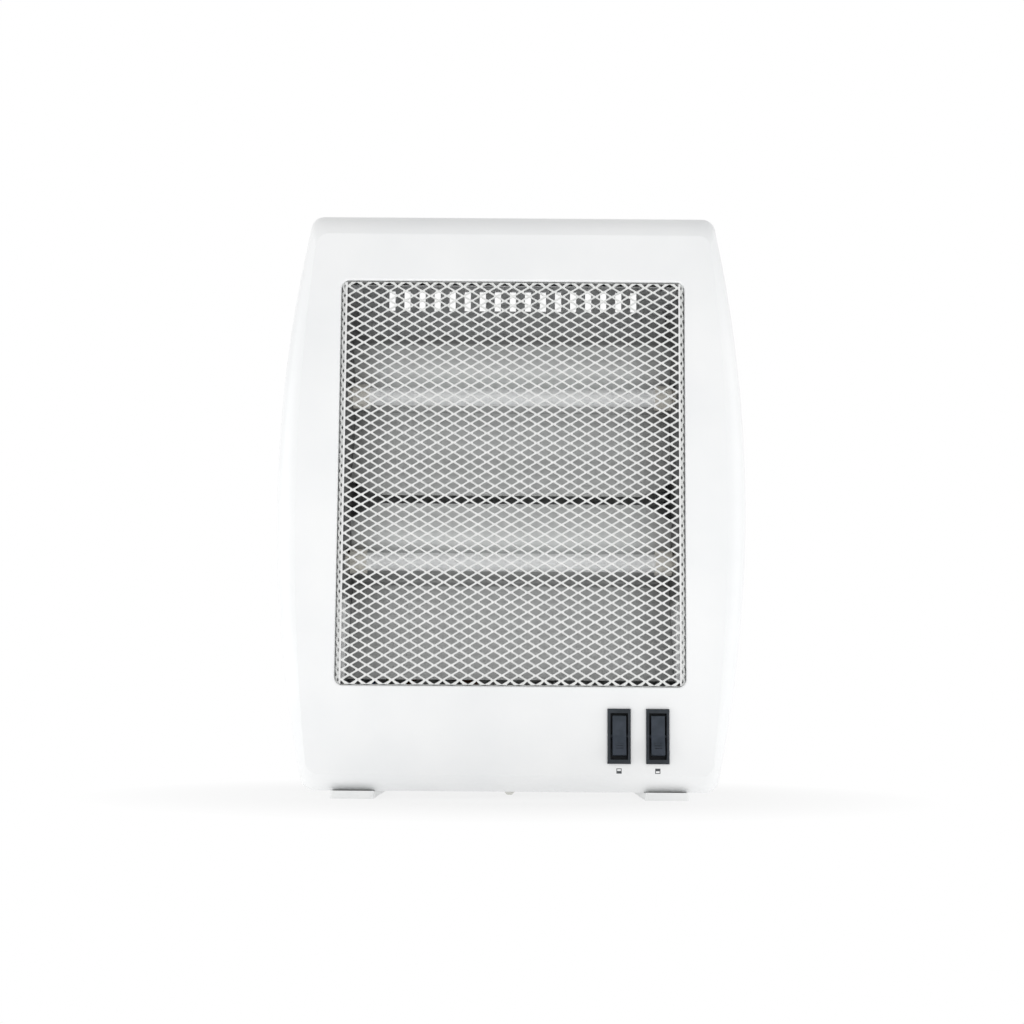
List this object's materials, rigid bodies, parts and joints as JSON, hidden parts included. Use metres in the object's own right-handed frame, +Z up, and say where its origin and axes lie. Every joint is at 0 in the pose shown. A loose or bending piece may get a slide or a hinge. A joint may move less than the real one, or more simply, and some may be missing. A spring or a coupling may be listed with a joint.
{
  "type": "halogen heater",
  "caption": "Free-standing halogen room heater: bulged white case, recessed wire mesh guard over quartz tubes in bent reflectors, rocker switches, foot rails and a tip-over switch.",
  "frame": {"origin": "middle of the overall box on the floor, under the feet", "axes": "+Z up from the floor; the window, guard and switches face -Y; +X is to the right when the front is looked at"},
  "size_m": [0.2808, 0.1237, 0.35],
  "materials": {
    "white_case": "satin moulded white ABS",
    "guard_paint": "white powder coat",
    "plate_steel": "dull zinc plated sheet",
    "reflector_sheet": "bright rolled sheet",
    "quartz": "milky frosted quartz",
    "coil_wire": "resistance wire",
    "cap_ceramic": "unglazed",
    "switch_black": "fine moulded",
    "rocker_grey": "satin",
    "blade_brass": "stamped",
    "block_nylon": "moulded",
    "screw_steel": "zinc plated",
    "live_sleeve": "brown silicone sleeve",
    "neutral_sleeve": "blue silicone sleeve",
    "earth_sleeve": "green and yellow sleeve"
  },
  "bodies": {
    "heater": {"front_frame": "white_case", "rear_cover": "white_case", "left_foot": "white_case", "right_foot": "white_case", "mesh_guard": "guard_paint", "left_end_plate": "plate_steel", "right_end_plate": "plate_steel", "upper_reflector": "reflector_sheet", "lower_reflector": "reflector_sheet", "upper_quartz_tube": "quartz", "lower_quartz_tube": "quartz", "upper_heating_coil": "coil_wire", "lower_heating_coil": "coil_wire", "upper_left_tube_cap": "cap_ceramic", "upper_right_tube_cap": "cap_ceramic", "lower_left_tube_cap": "cap_ceramic", "lower_right_tube_cap": "cap_ceramic", "thermal_cutout": "cap_ceramic", "left_switch_body": "switch_black", "right_switch_body": "switch_black", "tip_switch_body": "switch_black", "cord_gland": "switch_black", "left_switch_terminals": "blade_brass", "right_switch_terminals": "blade_brass", "cutout_terminals": "blade_brass", "tip_switch_terminals": "blade_brass", "terminal_clamps": "blade_brass", "terminal_block": "block_nylon", "clamp_screws": "screw_steel", "case_screws": "screw_steel", "chassis_screws": "screw_steel", "foot_screws": "screw_steel", "cutout_screws": "screw_steel", "tip_switch_screws": "screw_steel", "block_screws": "screw_steel", "tip_spring": "screw_steel", "live_lead": "live_sleeve", "cutout_lead": "live_sleeve", "switch_feed_lead": "live_sleeve", "switch_link_lead": "live_sleeve", "upper_tube_lead": "live_sleeve", "lower_tube_lead": "live_sleeve", "neutral_lead": "neutral_sleeve", "neutral_link_lead": "neutral_sleeve", "earth_lead": "earth_sleeve"},
    "left_rocker": {"left_rocker": "rocker_grey"},
    "right_rocker": {"right_rocker": "rocker_grey"},
    "tip_plunger": {"tip_plunger": "block_nylon"}
  },
  "joints": [
    {"name": "left_rocker_tilt", "type": "hinge", "parent": "heater", "child": "left_rocker", "pos_m": [0.0635, -0.05508, 0.037], "axis": [1, 0, 0], "range_deg": [0, 16]},
    {"name": "right_rocker_tilt", "type": "hinge", "parent": "heater", "child": "right_rocker", "pos_m": [0.086, -0.05508, 0.037], "axis": [1, 0, 0], "range_deg": [0, 16]},
    {"name": "tip_plunger_drop", "type": "slide", "parent": "heater", "child": "tip_plunger", "axis": [0, 0, 1], "range_m": [-0.006, 0], "stiffness_N_per_m": 100, "springref_m": -0.012, "deforming": ["tip_spring"]}
  ]
}
